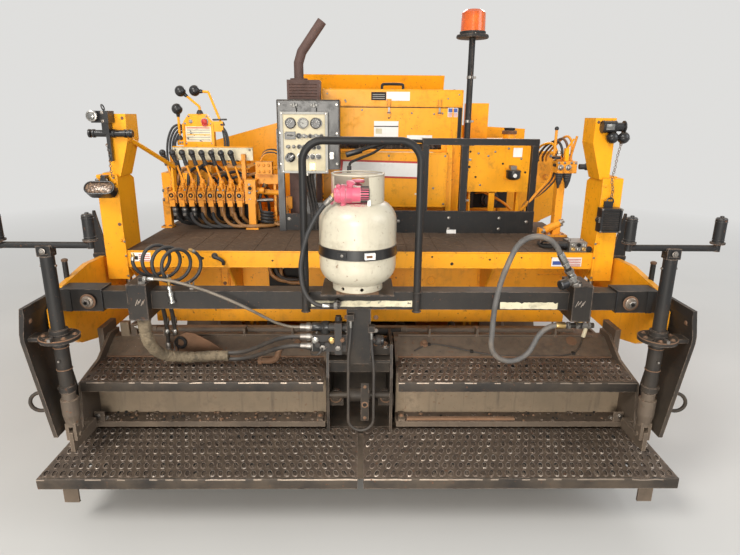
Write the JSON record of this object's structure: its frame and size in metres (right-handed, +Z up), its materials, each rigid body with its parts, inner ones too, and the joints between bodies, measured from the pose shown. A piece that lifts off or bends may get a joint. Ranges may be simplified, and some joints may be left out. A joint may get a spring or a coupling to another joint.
{
  "type": "tracked asphalt paver",
  "caption": "Compact tracked asphalt paver with a low rear deck, front hopper with fold-up wings, augers and a lifting screed with side extensions.",
  "frame": {"origin": "ground level under the middle of the machine's outer size", "axes": "+Z up, +Y towards the hopper, the way it travels; the screed is at -Y"},
  "size_m": [2.96, 3.98, 2.1716],
  "materials": {
    "yellow_paint": "satin",
    "black_steel": "satin",
    "worn_steel": "matte",
    "bare_steel": "satin",
    "track_steel": "matte",
    "deck_tread": "matte",
    "rubber": "matte",
    "cylinder_paint": "satin",
    "panel": "satin",
    "rusty_pipe": "matte",
    "amber_lens": "gloss",
    "engine_iron": "matte",
    "grey_hose": "satin",
    "steel_hose": "satin",
    "wrap_fabric": "matte"
  },
  "bodies": {
    "tractor": {"main_frame": "yellow_paint", "deck": "deck_tread", "tower_left": "yellow_paint", "tower_right": "yellow_paint", "hopper_bed": "yellow_paint", "conveyors": "track_steel", "track_left": "track_steel", "track_right": "track_steel", "track_frame_left": "yellow_paint", "track_frame_right": "yellow_paint", "track_wheels": "track_steel", "push_beam": "black_steel", "engine": "engine_iron", "engine_housing": "yellow_paint", "exhaust": "rusty_pipe", "fuel_tank": "yellow_paint", "hydraulic_tank": "yellow_paint", "control_panel": "panel", "lever_bank": "yellow_paint", "steering_console": "yellow_paint", "side_valve": "yellow_paint", "handrail": "black_steel", "beacon_lens": "amber_lens", "auger_case": "yellow_paint", "tower_lamps": "black_steel", "valve_hoses": "rubber"},
    "screed": {"tow_arm_left": "yellow_paint", "tow_arm_right": "yellow_paint", "arm_ends": "black_steel", "cross_beam": "black_steel", "main_screed": "worn_steel", "walkboards": "worn_steel", "screed_centre": "black_steel", "burner_valves": "bare_steel", "gas_cylinder": "cylinder_paint", "hose_grey": "grey_hose", "hose_steel": "steel_hose", "hose_wrapped": "wrap_fabric", "hose_upper": "rubber", "hose_lower": "rubber", "gas_hose": "rubber", "column_hose": "rubber", "hose_hank": "rubber"},
    "push_roller_left": {"push_roller_left": "bare_steel"},
    "push_roller_right": {"push_roller_right": "bare_steel"},
    "wing_left": {"wing_left": "yellow_paint"},
    "wing_right": {"wing_right": "yellow_paint"},
    "hood_lid": {"hood_lid": "yellow_paint"},
    "auger_left": {"auger_left": "track_steel"},
    "auger_right": {"auger_right": "track_steel"},
    "extension_left": {"extension_left": "worn_steel"},
    "extension_right": {"extension_right": "worn_steel"},
    "crank_left": {"crank_left": "black_steel"},
    "crank_right": {"crank_right": "black_steel"},
    "lift_barrel_left": {"lift_barrel_left": "black_steel"},
    "lift_barrel_right": {"lift_barrel_right": "black_steel"},
    "lift_rod_left": {"lift_rod_left": "bare_steel"},
    "lift_rod_right": {"lift_rod_right": "bare_steel"}
  },
  "joints": [
    {"name": "screed_lift", "type": "hinge", "parent": "tractor", "child": "screed", "pos_m": [0, 0.19, 0.62], "axis": [-1, 0, 0], "range_deg": [-1.5, 5.5]},
    {"name": "wing_left_fold", "type": "hinge", "parent": "tractor", "child": "wing_left", "pos_m": [-0.62, 0.34, 0.56], "axis": [0, 1, 0], "range_deg": [0, 65]},
    {"name": "wing_right_fold", "type": "hinge", "parent": "tractor", "child": "wing_right", "pos_m": [0.62, 0.34, 0.56], "axis": [0, -1, 0], "range_deg": [0, 65]},
    {"name": "hood_lid_hinge", "type": "hinge", "parent": "tractor", "child": "hood_lid", "pos_m": [0.182, 0.16, 1.81], "axis": [-1, 0, 0], "range_deg": [0, 70]},
    {"name": "extension_left_slide", "type": "slide", "parent": "screed", "child": "extension_left", "axis": [-1, 0, 0], "range_m": [0, 0.75]},
    {"name": "extension_right_slide", "type": "slide", "parent": "screed", "child": "extension_right", "axis": [1, 0, 0], "range_m": [0, 0.75]},
    {"name": "crank_left_turn", "type": "hinge", "parent": "screed", "child": "crank_left", "pos_m": [-1.15, -1.85, 0.9], "axis": [0, 0, 1], "continuous": true},
    {"name": "crank_right_turn", "type": "hinge", "parent": "screed", "child": "crank_right", "pos_m": [1.15, -1.85, 0.9], "axis": [0, 0, 1], "continuous": true},
    {"name": "auger_left_spin", "type": "hinge", "parent": "tractor", "child": "auger_left", "pos_m": [-0.6, -0.84, 0.38], "axis": [1, 0, 0], "continuous": true},
    {"name": "auger_right_spin", "type": "hinge", "parent": "tractor", "child": "auger_right", "pos_m": [0.6, -0.84, 0.38], "axis": [1, 0, 0], "continuous": true},
    {"name": "push_roller_left_spin", "type": "hinge", "parent": "tractor", "child": "push_roller_left", "pos_m": [-0.255, 1.915, 0.43], "axis": [1, 0, 0], "continuous": true},
    {"name": "push_roller_right_spin", "type": "hinge", "parent": "tractor", "child": "push_roller_right", "pos_m": [0.255, 1.915, 0.43], "axis": [1, 0, 0], "continuous": true},
    {"name": "lift_barrel_left_swing", "type": "hinge", "parent": "tractor", "child": "lift_barrel_left", "pos_m": [-1.1505, -1.18, 1.325], "axis": [1, 0, 0], "range_deg": [-1.5, 4.2]},
    {"name": "lift_rod_left_slide", "type": "slide", "parent": "lift_barrel_left", "child": "lift_rod_left", "axis": [0, 0, 1], "range_m": [-0.045, 0.148]},
    {"name": "lift_barrel_right_swing", "type": "hinge", "parent": "tractor", "child": "lift_barrel_right", "pos_m": [1.1505, -1.18, 1.325], "axis": [1, 0, 0], "range_deg": [-1.5, 4.2]},
    {"name": "lift_rod_right_slide", "type": "slide", "parent": "lift_barrel_right", "child": "lift_rod_right", "axis": [0, 0, 1], "range_m": [-0.045, 0.148]}
  ],
  "couplings": [
    {"joint": "lift_barrel_left_swing", "follows": "screed_lift", "ratio": 0.6},
    {"joint": "lift_rod_left_slide", "follows": "screed_lift", "m_per_rad": 1.357},
    {"joint": "lift_barrel_right_swing", "follows": "screed_lift", "ratio": 0.6},
    {"joint": "lift_rod_right_slide", "follows": "screed_lift", "m_per_rad": 1.357}
  ]
}
